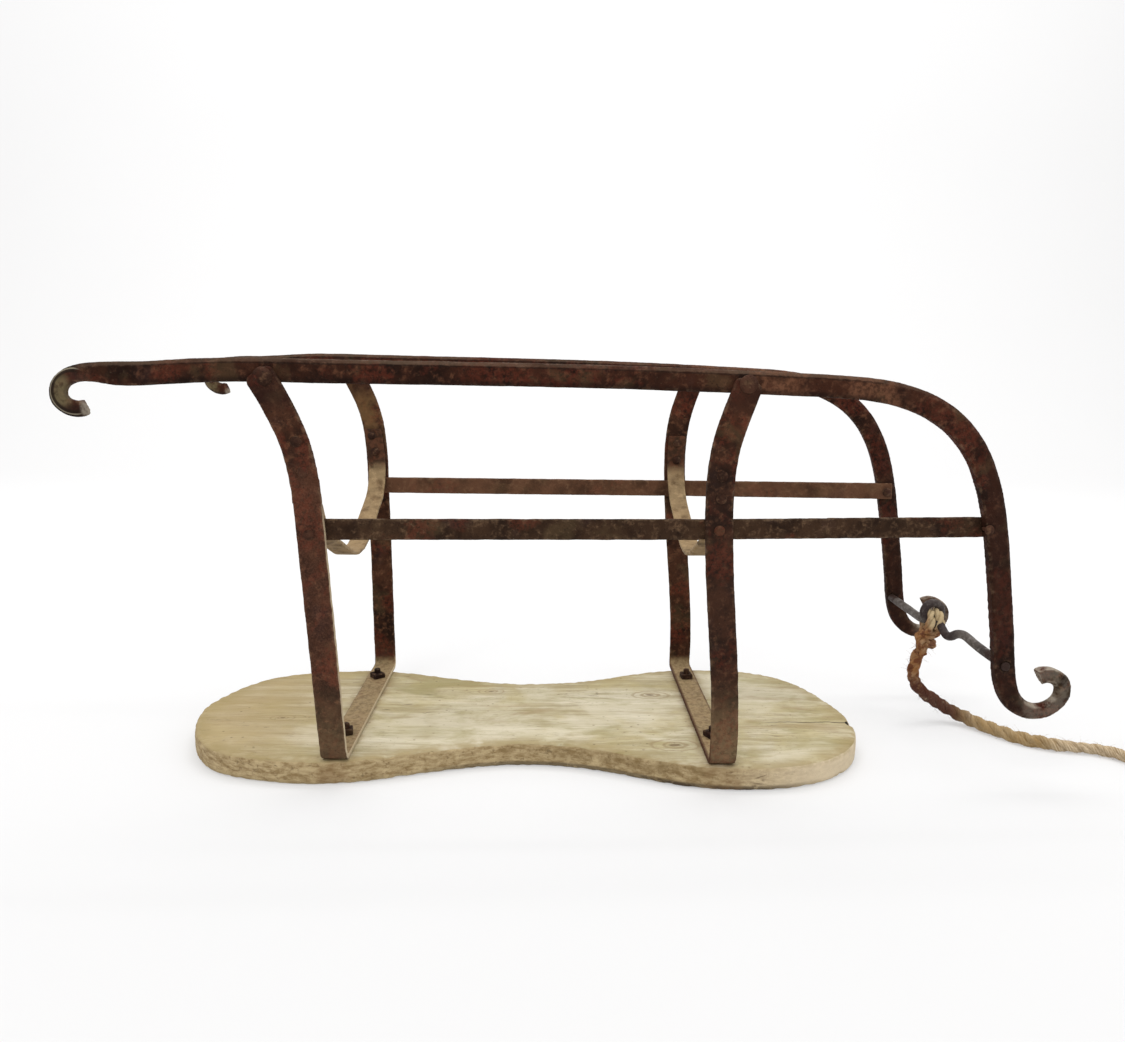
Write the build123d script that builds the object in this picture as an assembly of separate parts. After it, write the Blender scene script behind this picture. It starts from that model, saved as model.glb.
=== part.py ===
from build123d import *
import math
import os

# Old child's sled: a wooden seat bolted to two wrought-iron hoops that carry
# two iron runners. It lies upside down on its seat, as it is shown and stored.
#
# Millimetres. +Z is up and the floor is Z = 0, +X is the sled's front and -Y is
# its left side as it is ridden. X = 0 and Y = 0 are the middle of the iron frame.

SIDES = {"left": -1, "right": 1}
ENDS = ("rear", "front")

# seat board
BOARD_THICK = 24.0
BOARD_REAR_X = -410.0       # rear tip of the seat
BOARD_SHIFT_Y = -7.0        # the board is bolted on a little off centre
BOARD_EDGE_ROUND = 3.0
# half outline, rear tip to front tip: distance from the rear tip, half width
BOARD_HALF = [(8, 42), (26, 80), (52, 106), (90, 121), (165, 129), (265, 101.5), (345, 86.5),
              (425, 101), (505, 133), (560, 138.5), (610, 131), (650, 104), (678, 46)]
BOARD_NEAR_END = [(654, 106), (682, 64)]    # the left side's last two points: a blunter corner
BOARD_TIP_Y = {"rear": -7.0, "front": -27.0}
BOARD_LENGTH = 689.0

# hoops: one bent strap each, two legs and the cross strap under the seat
STRAP_WIDE = 25.0
STRAP_THICK = 5.0
HOOP_X = {"rear": -240.0, "front": 122.5}
HOOP_BASE_HALF = {"rear": 134.0, "front": 142.0}
HOOP_CORNER = 7.0           # bend radius at the strap's middle
LEG_TOP_Z = 345.0           # above this the leg stands upright, flat on the runner
LEG_TOP_BEND = 40.0
LEG_END_ROUND = 6.0
LEG_BITE = 0.4              # how far the leg is set into the runner's face
# leg centre lines seen from the side: offset from the hoop, height above the board
LEG_LINE = {
    "rear": [(0.5, -2), (-4, 120), (-7.5, 215), (-10.5, 268), (-16.5, 300), (-28, 329), (-45, 359)],
    "front": [(-0.5, -2), (-8.3, 160), (-13, 240), (-12.5, 272), (-8, 303), (0.5, 330), (9, 355)],
}
LEG_RISE = {"left": 0.0, "right": 7.0}      # the right legs are longer, by hand work
LEG_HEIGHT = 355.0
# the blank that the legs are cut from, larger than the legs' side view
BLANK_WIDE = 160.0
PAST_LEG_TOP = 70.0
PAST_RUNNERS = 200.0

# runners: bars bent up at the nose, scrolled at the tail, toed in to the front
RUNNER_THICK = 10.0
RUNNER_HIGH = 20.0
RUNNER_BEVEL = 3.4          # on both sides of the running edge
SHORTEST_RUN = 300.0        # edges longer than this run the length of the bar
TAIL_HALF = 170.0           # half the distance between the runners at the tail
TAIL_X = -456.0
TOE_IN = 0.05206            # change of that half distance per millimetre forward
# centre line of the left runner, tail to nose: X, height above the board, bar height
RUNNER_LINE = [
    (-427, 328, 13), (-436, 326.6, 13.5), (-445.5, 330.5, 13.5), (-449.2, 340.5, 13.5),
    (-444, 350, 13.5), (-434, 355.3, 14), (-420, 356.8, 16), (-399, 356, 20), (-340, 358.9, 20),
    (-250, 359.7, 20), (-60, 358, 20), (100, 354.7, 20), (195, 351.3, 20), (240, 348.5, 20),
    (269, 343.6, 20.5), (290, 336.8, 21), (310, 326.5, 21.5), (330, 310, 21.5), (347, 286, 21.5),
    (361, 251, 21.5), (372.5, 195, 21.5), (378.5, 156, 21), (384, 118, 21), (389.5, 80, 21),
    (395, 65, 19), (404, 54.5, 17), (417, 49, 15), (432, 51, 14), (442.5, 59, 14), (446, 70.5, 14),
    (440, 81, 14.5), (431, 83.5, 15), (422.5, 81.5, 15.5),
]
RIGHT_LENGTH = 0.9915       # the right runner is a little shorter
RIGHT_RISE = (9.0, 4.5)     # and stands higher, at the tail and at the nose
NOSE_X = 380.0

# stays: flat bars between the legs, sagging towards the seat
STAY_WIDE = 20.0
STAY_THICK = 4.0
STAY_X = {"rear": -246.5, "front": 110.5}
STAY_CORNER_Z = 247.0
STAY_MIDDLE_Z = 188.0
STAY_BENDS = {"rear": [65.0, 130.0, 65.0], "front": [62.0, 130.0, 62.0]}
STAY_LEAVE_Z = {"rear": 289.0, "front": 290.0}     # where a stay begins to bend off the leg
STAY_RIVET_SHIFT = {"upper": -8.0, "lower": -4.0}     # the rear rivets follow the leg's bend
STAY_END = 9.0              # bar beyond the upper rivet
STAY_BLANK_WIDE = 60.0
# centre line seen from the side: offset from STAY_X, height; the rear one leans with its leg
STAY_LINE = {
    "rear": [(0, 150), (0, 235), (-3.5, 290), (-9.5, 322), (-17, 342)],
    "front": [(0, 150), (0, 230), (-0.5, 275), (0.5, 312), (2, 330)],
}

# rails: flat bars from the rear legs past the front legs to the runners
RAIL_HIGH = 19.0
RAIL_THICK = 3.6
RAIL_Z = 247.5
RAIL_ENDS_X = (-256.0, 365.0)
RAIL_KINK_X = 108.0         # at the front leg
RAIL_GAP = 1.0              # play at the riveted face, for the lean of the leg
RAIL_ROLL = 3.0             # degrees, between the lean of the two legs
RAIL_BEND = 120.0

# draw rod between the noses, with one round turn as the eye for the rope
ROD_RADIUS = 4.5
ROD_END = {"left": (385.0, 118.0), "right": (374.0, 119.0)}      # X and Z
ROD_PROUD = 1.6             # peened end outside the runner
EYE_CENTRE = (377.0, 130.0)                                      # X and Z
EYE_CORNER_RADIUS = 12.0
EYE_Y = (22.0, 7.0)         # first and last corner of the turn
EYE_CORNERS = 8
EYE_FROM, EYE_STEP = -120, 60                                    # degrees
ROD_DIP = [(380.5, -19, 111), (381.5, -46, 126), (383, -78, 121.5)]

# fasteners
RIVET_CLEAR = 0.15
HOLE_LONG = 40.0            # long enough to pass the bars joined at one leg
TOE_GAP = 0.5               # a straight rivet's head stands off a toed-in face by this
BIG_RIVET = {"shank": 3.5, "head": 8.5, "height": 4.0}
SMALL_RIVET = {"shank": 2.5, "head": 5.2, "height": 2.4}
RUNNER_RIVET = {"rear": (-279.5, 378.5), "front": (130.0, 376.0)}     # X and Z, left side
STAY_RIVET_Z = {("rear", "left"): (325.0, 299.0), ("rear", "right"): (305.0, 286.0),
                ("front", "left"): (296.0, 276.0), ("front", "right"): (301.0, 281.0)}
RAIL_RIVET = {"rear": (-249.0, 243.5), "front": (110.0, 247.5)}       # X and Z
RAIL_END_RIVET_X = 357.5
BOLT_Y = {"rear": 82.0, "front": 86.0}
BOLT_RADIUS = 3.5
BOLT_HEAD = (8.0, 5.0)      # countersunk head: radius, depth
BOLT_PROUD = 5.0
BOLT_TIP_BEVEL = 0.8
NUT_WIDE = 13.0
NUT_HIGH = 6.0
NUT_BEVEL = 0.9
NUT_TURN = {("rear", "left"): 12, ("rear", "right"): 38, ("front", "left"): 27, ("front", "right"): 5}
THREAD_CLEAR = 0.02

# pull rope: hangs from the eye, runs off over the floor and is coiled there
ROPE_RADIUS = 5.5
ROPE_ROUTE = [
    (374.5, 14, 113), (372, 15, 97), (366, 17, 80), (362, 20, 64), (367, 24, 47), (381, 28.5, 32),
    (401, 29, 18.5), (424, 18, 9), (441, -8, 6), (463, -39, 6), (496, -53, 6), (531, -61, 6),
    (556, -90, 6), (566, -128, 6),
]
COIL_CENTRE = (625.0, -108.0)
COIL_RING = (49.0, 72.0)    # inner and outer radius
COIL_HIGH = 21.0
COIL_ROUND = 5.0
TIE_ANGLE = -35.0           # degrees round the coil
TIE_WIDE = 6.0
TIE_THICK = 2.0
KNOT_CENTRE = (375.0, 13.5, 122.0)
KNOT_RADII = (11.5, 12.5, 14.0)
END_KNOT_RADIUS = 9.0
END_KNOT_ANGLE = 62.0       # degrees round the coil
END_KNOT_REACH = 41.5       # from the coil's middle


def runner_half(x):
    """Distance from the middle plane to the middle of a runner."""
    return TAIL_HALF - TOE_IN * (x - TAIL_X)


def side_point(x, height, side):
    """Point of a runner's centre line, with the right runner's own length and rise."""
    if side == "right":
        along = (x - TAIL_X) / (NOSE_X - TAIL_X)
        x = TAIL_X + (x - TAIL_X) * RIGHT_LENGTH
        height += RIGHT_RISE[0] + (RIGHT_RISE[1] - RIGHT_RISE[0]) * min(along, 1.0)
    return x, height + BOARD_THICK


def runner_rise(x, side):
    """How much higher this side's runner is than the left one."""
    return side_point(x, 0, side)[1] - side_point(x, 0, "left")[1]


def leg_top_half(end):
    """Middle of the leg's upright top, on the runner's outer face."""
    x = RUNNER_RIVET[end][0]
    return runner_half(x) + (RUNNER_THICK + STRAP_THICK) / 2 - LEG_BITE


def leg_lean(end):
    """Sideways lean of a leg, in degrees."""
    rise = LEG_TOP_Z - BOARD_THICK - STRAP_THICK / 2
    return math.degrees(math.atan2(leg_top_half(end) - HOOP_BASE_HALF[end], rise))


def leg_half(end, z):
    """Distance from the middle plane to the middle of a leaning leg at height z."""
    start = BOARD_THICK + STRAP_THICK / 2
    return HOOP_BASE_HALF[end] + (z - start) * math.tan(math.radians(leg_lean(end)))


def ribbon(points, half_widths):
    """Flat face of varying width along a smooth line through the points."""
    line = Spline(*points)
    marks = [0.0, *[line.param_at_point(Vector(*p)) for p in points[1:-1]], 1.0]
    steps = 3 * (len(points) - 1)
    above, below = [], []
    for i in range(steps + 1):
        share = i / steps
        place, way = line @ share, line % share
        half = between(share, marks, half_widths)
        across = Vector(-way.Y, way.X).normalized() * half
        above.append(place + across)
        below.append(place - across)
    below.reverse()
    edges = [Spline(*above), Line(above[-1], below[0]), Spline(*below), Line(below[-1], above[0])]
    return make_face(edges)


def between(share, marks, values):
    """Value at a share of the line's length, straight between the marks."""
    for a, b, low, high in zip(marks, marks[1:], values, values[1:]):
        if share <= b:
            return low + (high - low) * (share - a) / (b - a)
    return values[-1]


def rounded_path(points):
    """Straight runs joined by arcs as large as the runs allow; returns path and radii."""
    corners = [Vector(*p) for p in points]
    radii = []
    for a, b, c in zip(corners, corners[1:], corners[2:]):
        turn = math.radians((b - a).get_angle(c - b))
        shorter = min((b - a).length, (c - b).length)
        radii.append(0.45 * shorter / math.tan(turn / 2))
    return FilletPolyline(*corners, radius=radii), radii


def round_bar(points, radius):
    """Round bar or rope along rounded runs."""
    path, radii = rounded_path(points)
    section = Plane(origin=path @ 0, z_dir=path % 0) * Circle(radius)
    return sweep(section, path=path), path, radii


def flat_bar(path, wide, thick, wide_way):
    """Flat bar along a path, its width lying along wide_way."""
    section = Plane(origin=path @ 0, x_dir=wide_way, z_dir=path % 0) * Rectangle(wide, thick)
    return sweep(section, path=path)


def pin(centre, axis, radius, length):
    """Straight round solid for cutting a hole, centred on the given point."""
    return Plane(origin=centre, z_dir=axis) * Cylinder(radius, length)


def dome(size):
    """Shallow round head standing on Z = 0."""
    head, height = size["head"], size["height"]
    ball = (head ** 2 + height ** 2) / (2 * height)
    foot = Cylinder(head + 1, height, align=(Align.CENTER, Align.CENTER, Align.MIN))
    return Pos(0, 0, height - ball) * Sphere(ball) & foot


def rivet(centre, axis, grip_in, grip_out, size):
    """Rivet with a round head at each side; axis points to the outer head."""
    shank = Pos(0, 0, (grip_out - grip_in) / 2) * Cylinder(size["shank"], grip_in + grip_out)
    heads = Pos(0, 0, grip_out) * dome(size) + Pos(0, 0, -grip_in) * Rot(180, 0, 0) * dome(size)
    return Plane(origin=centre, z_dir=axis) * (shank + heads)


def leg_normal(end, side):
    """Outward normal of a leaning leg."""
    lean = math.radians(leg_lean(end))
    return Vector(0, SIDES[side] * math.cos(lean), -math.sin(lean))


def leg_place(end, side, x, z):
    """Point in the middle of a leg's thickness."""
    return Vector(x, SIDES[side] * leg_half(end, z), z)


# ---------------------------------------------------------------- seat board
def seat_board():
    left = BOARD_HALF[:-len(BOARD_NEAR_END)] + BOARD_NEAR_END
    near = [(BOARD_REAR_X + x, BOARD_SHIFT_Y - w) for x, w in left]
    far = [(BOARD_REAR_X + x, BOARD_SHIFT_Y + w) for x, w in BOARD_HALF]
    tips = [(BOARD_REAR_X, BOARD_TIP_Y["rear"]), (BOARD_REAR_X + BOARD_LENGTH, BOARD_TIP_Y["front"])]
    outline = Spline(tips[0], *near, tips[1], *reversed(far), periodic=True)
    board = extrude(make_face(outline), BOARD_THICK)
    rims = board.edges().group_by(Axis.Z)
    board = fillet(rims[0] + rims[-1], BOARD_EDGE_ROUND)
    for end in ENDS:
        for side in SIDES:
            x, y = HOOP_X[end], SIDES[side] * BOLT_Y[end]
            board -= Pos(x, y, BOARD_THICK / 2) * Cylinder(BOLT_RADIUS + RIVET_CLEAR, 2 * BOARD_THICK)
            board -= Pos(x, y, 0) * countersink()
    return board


def countersink():
    """Cone of a flush bolt head, its flat top on the sitting face at Z = 0."""
    radius, depth = BOLT_HEAD
    return Cone(radius, BOLT_RADIUS, depth, align=(Align.CENTER, Align.CENTER, Align.MIN))


def seat_bolt(end, side):
    top = BOARD_THICK + STRAP_THICK + NUT_HIGH + BOLT_PROUD
    shank = Cylinder(BOLT_RADIUS, top, align=(Align.CENTER, Align.CENTER, Align.MIN))
    shank = chamfer(shank.edges().group_by(Axis.Z)[-1], BOLT_TIP_BEVEL)
    return Pos(HOOP_X[end], SIDES[side] * BOLT_Y[end], 0) * (shank + countersink())


def seat_nut(end, side):
    nut = Box(NUT_WIDE, NUT_WIDE, NUT_HIGH, align=(Align.CENTER, Align.CENTER, Align.MIN))
    nut = chamfer(nut.edges().group_by(Axis.Z)[-1], NUT_BEVEL)
    nut -= Cylinder(BOLT_RADIUS + THREAD_CLEAR, 3 * NUT_HIGH)
    place = Pos(HOOP_X[end], SIDES[side] * BOLT_Y[end], BOARD_THICK + STRAP_THICK)
    return place * Rot(0, 0, NUT_TURN[end, side]) * nut


# --------------------------------------------------------------------- hoops
def leg_outline(end, side):
    """Side view of one leg, extruded across the whole half of the sled."""
    stretch = 1 + LEG_RISE[side] / LEG_HEIGHT
    points = [(HOOP_X[end] + dx, BOARD_THICK + h * stretch) for dx, h in LEG_LINE[end]]
    face = ribbon(points, [STRAP_WIDE / 2] * len(points))
    face = fillet(face.vertices().sort_by(Axis.Y)[-2:], LEG_END_ROUND)
    return extrude(Plane.XZ * face, -SIDES[side] * PAST_RUNNERS)


def hoop(end, runners):
    base, top = HOOP_BASE_HALF[end], leg_top_half(end)
    low, high = BOARD_THICK + STRAP_THICK / 2, LEG_TOP_Z + PAST_LEG_TOP
    corners = [(0, -top, high), (0, -top, LEG_TOP_Z), (0, -base, low),
               (0, base, low), (0, top, LEG_TOP_Z), (0, top, high)]
    bends = [LEG_TOP_BEND, HOOP_CORNER, HOOP_CORNER, LEG_TOP_BEND]
    path = FilletPolyline(*corners, radius=bends)
    bent = Pos(HOOP_X[end], 0, 0) * flat_bar(path, BLANK_WIDE, STRAP_THICK, (1, 0, 0))
    legs = [bent & leg_outline(end, side) for side in SIDES]
    strap = legs[0] + legs[1]
    for runner in runners.values():
        strap -= runner
    for side in SIDES:
        place = (HOOP_X[end], SIDES[side] * BOLT_Y[end], BOARD_THICK)
        strap -= pin(place, (0, 0, 1), BOLT_RADIUS + RIVET_CLEAR, 4 * STRAP_THICK)
    return strap


# ------------------------------------------------------------------- runners
def runner(side):
    points = [side_point(x, h, side) for x, h, _ in RUNNER_LINE]
    halves = [high / 2 for _, _, high in RUNNER_LINE]
    bar = extrude(Plane.XZ * ribbon(points, halves), RUNNER_THICK / 2, both=True)
    bar = chamfer([e for e in bar.edges() if is_running_edge(e, points)], RUNNER_BEVEL)
    sign = SIDES[side]
    tilt = math.degrees(math.atan(TOE_IN))
    return Pos(TAIL_X, sign * TAIL_HALF, 0) * Rot(0, 0, -sign * tilt) * Pos(-TAIL_X, 0, 0) * bar


def is_running_edge(edge, points):
    """True for the two long edges on the side that runs on the snow."""
    if edge.length < SHORTEST_RUN:
        return False
    middle = edge @ 0.5
    x, z = min(points, key=lambda p: math.hypot(p[0] - middle.X, p[1] - middle.Z))
    return middle.Z > z


# --------------------------------------------------------------------- stays
def stay(end):
    lean = math.radians(leg_lean(end))
    inset = (STRAP_THICK + STAY_THICK) / 2 / math.cos(lean)
    tops = {side: STAY_RIVET_Z[end, side][0] + STAY_END for side in SIDES}
    x = STAY_X[end]

    def place(side, z):
        return (x, SIDES[side] * (leg_half(end, z) - inset), z)

    corners = [place("left", tops["left"]), place("left", STAY_CORNER_Z), (x, 0, STAY_MIDDLE_Z),
               place("right", STAY_CORNER_Z), place("right", tops["right"])]
    path = FilletPolyline(*corners, radius=STAY_BENDS[end])
    blank = flat_bar(path, STAY_BLANK_WIDE, STAY_THICK, (1, 0, 0))
    side_view = [(x + dx, z) for dx, z in STAY_LINE[end]]
    outline = ribbon(side_view, [STAY_WIDE / 2] * len(side_view))
    return blank & extrude(Plane.XZ * outline, PAST_RUNNERS, both=True)


def stay_rivet_x(end, level):
    return STAY_X[end] + (STAY_RIVET_SHIFT[level] if end == "rear" else 0.0)


def stay_gap(end, z):
    """Gap between leg and stay under a rivet head, where the stay bends away."""
    radius = STAY_BENDS[end][0]
    drop = max(STAY_LEAVE_Z[end] - (z - SMALL_RIVET["head"]), 0)
    return radius - math.sqrt(radius ** 2 - drop ** 2) + RIVET_CLEAR


# --------------------------------------------------------------------- rails
def rail_half(end):
    """Distance from the middle plane to the middle of a rail at a leg."""
    lean = math.radians(leg_lean(end))
    return leg_half(end, RAIL_Z) - STRAP_THICK / 2 / math.cos(lean) - RAIL_GAP - RAIL_THICK / 2


def rail(side, runners):
    sign = SIDES[side]
    front_end = runner_half(RAIL_ENDS_X[1]) - (RUNNER_THICK + RAIL_THICK) / 2 + RAIL_GAP
    corners = [(RAIL_ENDS_X[0], sign * rail_half("rear"), RAIL_Z),
               (RAIL_KINK_X, sign * rail_half("front"), RAIL_Z),
               (RAIL_ENDS_X[1], sign * front_end, RAIL_Z)]
    path = FilletPolyline(*corners, radius=RAIL_BEND)
    bar = flat_bar(path, RAIL_HIGH, RAIL_THICK, (0, 0, 1))
    turning = Axis((0, sign * rail_half("front"), RAIL_Z), (1, 0, 0))
    return bar.rotate(turning, -sign * RAIL_ROLL) - runners[side]


# ------------------------------------------------------------------ draw rod
def draw_rod():
    ends = {}
    for side in SIDES:
        x, z = ROD_END[side]
        reach = runner_half(x) + RUNNER_THICK / 2 + ROD_PROUD
        ends[side] = (x, SIDES[side] * reach, z)
    eye = []
    for i in range(EYE_CORNERS):
        angle = math.radians(EYE_FROM + EYE_STEP * i)
        y = EYE_Y[0] + (EYE_Y[1] - EYE_Y[0]) * i / (EYE_CORNERS - 1)
        eye.append((EYE_CENTRE[0] + EYE_CORNER_RADIUS * math.cos(angle), y,
                    EYE_CENTRE[1] + EYE_CORNER_RADIUS * math.sin(angle)))
    points = [ends["right"], *eye, *ROD_DIP, ends["left"]]
    rod, _, radii = round_bar(points, ROD_RADIUS)
    print("draw rod bends:", [round(r, 1) for r in radii])
    return rod


# ---------------------------------------------------------------------- rope
def pull_rope():
    tube, path, radii = round_bar(ROPE_ROUTE, ROPE_RADIUS)
    print("rope bends:", [round(r, 1) for r in radii])
    expected = math.pi * ROPE_RADIUS ** 2 * path.length
    print("rope tube:", round(path.length, 1), "mm long, volume", round(tube.volume), "of", round(expected))
    return tube


def around_coil(reach, angle, z):
    """Point at a distance from the coil's middle and an angle round it."""
    turn = math.radians(angle)
    return (COIL_CENTRE[0] + reach * math.cos(turn), COIL_CENTRE[1] + reach * math.sin(turn), z)


def rope_coil(tube, tie, end_knot):
    inner, outer = COIL_RING
    ring = Cylinder(outer, COIL_HIGH) - Cylinder(inner, 2 * COIL_HIGH)
    ring = fillet(ring.edges().filter_by(GeomType.CIRCLE), COIL_ROUND)
    ring = Pos(*COIL_CENTRE, COIL_HIGH / 2) * ring
    return ring - tube - tie - end_knot


def coil_tie():
    inner, outer = COIL_RING
    middle = (inner + outer) / 2
    size = (outer - inner + 2 * TIE_THICK, TIE_WIDE, COIL_HIGH + TIE_THICK)
    band = Box(*size, align=(Align.CENTER, Align.CENTER, Align.MIN))
    band = fillet(band.edges().filter_by(Axis.Y), COIL_ROUND)
    hole = Box(size[0] - 2 * TIE_THICK, 2 * TIE_WIDE, size[2] - 2 * TIE_THICK)
    hole = fillet(hole.edges().filter_by(Axis.Y), COIL_ROUND - TIE_THICK)
    band -= Pos(0, 0, size[2] / 2) * hole
    return Pos(*around_coil(middle, TIE_ANGLE, 0)) * Rot(0, 0, TIE_ANGLE) * band


def rope_end_knot():
    return Pos(*around_coil(END_KNOT_REACH, END_KNOT_ANGLE, END_KNOT_RADIUS)) * Sphere(END_KNOT_RADIUS)


def rope_knot(rod, tube):
    lump = scale(Sphere(1), by=KNOT_RADII)
    return Pos(*KNOT_CENTRE) * lump - rod - tube


# ------------------------------------------------------------------ assembly
def build():
    parts = {"seat_board": seat_board()}
    runners = {side: runner(side) for side in SIDES}
    hoops = {end: hoop(end, runners) for end in ENDS}
    stays = {end: stay(end) for end in ENDS}
    rails = {side: rail(side, runners) for side in SIDES}
    rod = draw_rod()

    for end in ENDS:
        for side in SIDES:
            name = f"{end}_{side}"
            parts[f"seat_bolt_{name}"] = seat_bolt(end, side)
            parts[f"seat_nut_{name}"] = seat_nut(end, side)

            x, z = RUNNER_RIVET[end]
            z += runner_rise(x, side)
            sign = SIDES[side]
            middle = (x, sign * runner_half(x), z)
            out = leg_top_half(end) + STRAP_THICK / 2 - runner_half(x)
            inner = RUNNER_THICK / 2 + TOE_GAP
            parts[f"runner_rivet_{name}"] = rivet(middle, (0, sign, 0), inner, out, BIG_RIVET)
            hole = pin(middle, (0, 1, 0), BIG_RIVET["shank"] + RIVET_CLEAR, HOLE_LONG)
            runners[side] -= hole
            hoops[end] -= hole

            for level, z in zip(("upper", "lower"), STAY_RIVET_Z[end, side]):
                place = leg_place(end, side, stay_rivet_x(end, level), z)
                normal = leg_normal(end, side)
                inner = STRAP_THICK / 2 + STAY_THICK + stay_gap(end, z)
                parts[f"stay_rivet_{name}_{level}"] = rivet(place, normal, inner, STRAP_THICK / 2,
                                                            SMALL_RIVET)
                hole = pin(place, normal, SMALL_RIVET["shank"] + RIVET_CLEAR, HOLE_LONG)
                hoops[end] -= hole
                stays[end] -= hole

            x, z = RAIL_RIVET[end]
            place = leg_place(end, side, x, z)
            normal = leg_normal(end, side)
            inner = STRAP_THICK / 2 + RAIL_THICK + 2 * RAIL_GAP
            parts[f"rail_rivet_{name}"] = rivet(place, normal, inner, STRAP_THICK / 2, SMALL_RIVET)
            hole = pin(place, normal, SMALL_RIVET["shank"] + RIVET_CLEAR, HOLE_LONG)
            hoops[end] -= hole
            rails[side] -= hole

    for side in SIDES:
        sign = SIDES[side]
        x = RAIL_END_RIVET_X
        place = (x, sign * runner_half(x), RAIL_Z)
        inner = RUNNER_THICK / 2 + RAIL_THICK + RAIL_GAP
        parts[f"rail_end_rivet_{side}"] = rivet(place, (0, sign, 0), inner,
                                                RUNNER_THICK / 2 + TOE_GAP, SMALL_RIVET)
        hole = pin(place, (0, 1, 0), SMALL_RIVET["shank"] + RIVET_CLEAR, HOLE_LONG)
        runners[side] -= hole
        rails[side] -= hole
        runners[side] -= rod

    for end in ENDS:
        parts[f"{end}_hoop"] = hoops[end]
        parts[f"{end}_stay"] = stays[end]
    for side in SIDES:
        parts[f"{side}_runner"] = runners[side]
        parts[f"{side}_rail"] = rails[side]
    parts["draw_rod"] = rod

    tube, tie, end_knot = pull_rope(), coil_tie(), rope_end_knot()
    parts["rope_knot"] = rope_knot(rod, tube)
    parts["pull_rope"] = tube
    parts["coil_tie"] = tie
    parts["rope_end_knot"] = end_knot
    parts["rope_coil"] = rope_coil(tube, tie, end_knot)
    return parts


os.makedirs("parts", exist_ok=True)
for name, solid in build().items():
    solid.label = name
    export_step(solid, f"parts/{name}.step")
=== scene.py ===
import math
import random

import bpy
import numpy as np
from mathutils import Matrix, Vector, kdtree, noise


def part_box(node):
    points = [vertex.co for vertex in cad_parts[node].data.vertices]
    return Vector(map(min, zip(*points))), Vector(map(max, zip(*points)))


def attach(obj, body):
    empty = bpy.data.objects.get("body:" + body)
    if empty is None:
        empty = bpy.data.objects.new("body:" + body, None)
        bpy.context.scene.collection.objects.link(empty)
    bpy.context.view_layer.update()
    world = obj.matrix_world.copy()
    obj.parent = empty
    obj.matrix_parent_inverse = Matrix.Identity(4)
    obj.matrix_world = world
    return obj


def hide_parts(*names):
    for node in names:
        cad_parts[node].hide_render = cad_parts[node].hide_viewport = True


# Looks for an old child's sled lying upside down on its seat. Metres, in the frame's own axes.

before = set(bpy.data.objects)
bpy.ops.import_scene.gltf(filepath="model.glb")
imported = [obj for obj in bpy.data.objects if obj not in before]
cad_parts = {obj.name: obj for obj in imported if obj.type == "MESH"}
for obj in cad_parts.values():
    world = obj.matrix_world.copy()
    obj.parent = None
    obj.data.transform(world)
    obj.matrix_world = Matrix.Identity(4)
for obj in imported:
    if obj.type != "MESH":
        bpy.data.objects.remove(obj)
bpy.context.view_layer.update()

SIDES = ("left", "right")
ENDS = ("rear", "front")

# camera
CAMERA_PLACE = (-0.0415, -0.929, 0.388)
CAMERA_YAW, CAMERA_PITCH, CAMERA_ROLL = -0.91, -9.64, -0.60      # degrees
CAMERA_LENS, SENSOR_WIDTH = 28.8, 36        # millimetres

# pull rope
ROPE_RADIUS = 0.0055
ROPE_ROUTE = [
    (0.3745, 0.014, 0.113), (0.372, 0.015, 0.097), (0.366, 0.017, 0.080), (0.362, 0.020, 0.064),
    (0.367, 0.024, 0.047), (0.381, 0.0285, 0.032), (0.401, 0.029, 0.0185), (0.424, 0.018, 0.009),
    (0.441, -0.008, 0.006), (0.463, -0.039, 0.006), (0.496, -0.053, 0.006), (0.531, -0.061, 0.006),
    (0.556, -0.090, 0.006), (0.566, -0.128, 0.006),
]
COIL_CENTRE = (0.625, -0.108)
COIL_FROM = 216.0           # degrees round the coil where the route joins it
COIL_STEP = 1 / 16          # of a turn
COIL_TURNS = 2.572
COIL_RADIUS = ((0.70, 0.066), (0.86, 0.055), (1.58, 0.055), (1.72, 0.0605), (2.28, 0.0605), (2.46, 0.042))
COIL_HEIGHT = ((1.45, 0.006), (1.60, 0.017), (2.42, 0.017), (2.572, 0.009))
TIE_ANGLE, TIE_REACH = math.radians(-35), 0.0605
END_KNOT_ANGLE, END_KNOT_REACH = math.radians(62), 0.0405
EYE = (0.3765, 0.0145, 0.1185)      # middle of the draw rod's eye
KNOT_TAIL = [(0.3665, 0.010, 0.1035), (0.3635, 0.007, 0.099), (0.3635, 0.005, 0.092), (0.3655, 0.006, 0.0845)]
ROPE_LAY, KNOT_LAY, END_LAY, TWINE_LAY = 0.044, 0.030, 0.024, 0.006     # length of one full twist
KNOT_RADIUS, END_RADIUS, TWINE_RADIUS = 0.0053, 0.0036, 0.0009
ROPE_STEP = 0.0013
HAIRY_UP_TO = 320               # the rope's points with more loose fibres
FLOOR_GAP = 0.0002


def camera():
    """The photograph's viewpoint."""
    data = bpy.data.cameras.new("camera")
    data.lens, data.sensor_width, data.clip_start = CAMERA_LENS, SENSOR_WIDTH, 0.01
    eye = bpy.data.objects.new("camera", data)
    turn = Matrix.Identity(4)
    for angle, axis in zip((CAMERA_YAW, CAMERA_PITCH, CAMERA_ROLL, 90), "ZXYX"):
        turn = turn @ Matrix.Rotation(math.radians(angle), 4, axis)
    eye.matrix_world = Matrix.Translation(CAMERA_PLACE) @ turn
    bpy.context.collection.objects.link(eye)
    bpy.context.scene.camera = eye


# ------------------------------------------------------------------ helpers
def add(name, vertices, faces):
    """New mesh piece that rides on the frame."""
    mesh = bpy.data.meshes.new(name)
    mesh.from_pydata(vertices, [], faces)
    mesh.update()
    return finish_piece(name, mesh)


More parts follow.
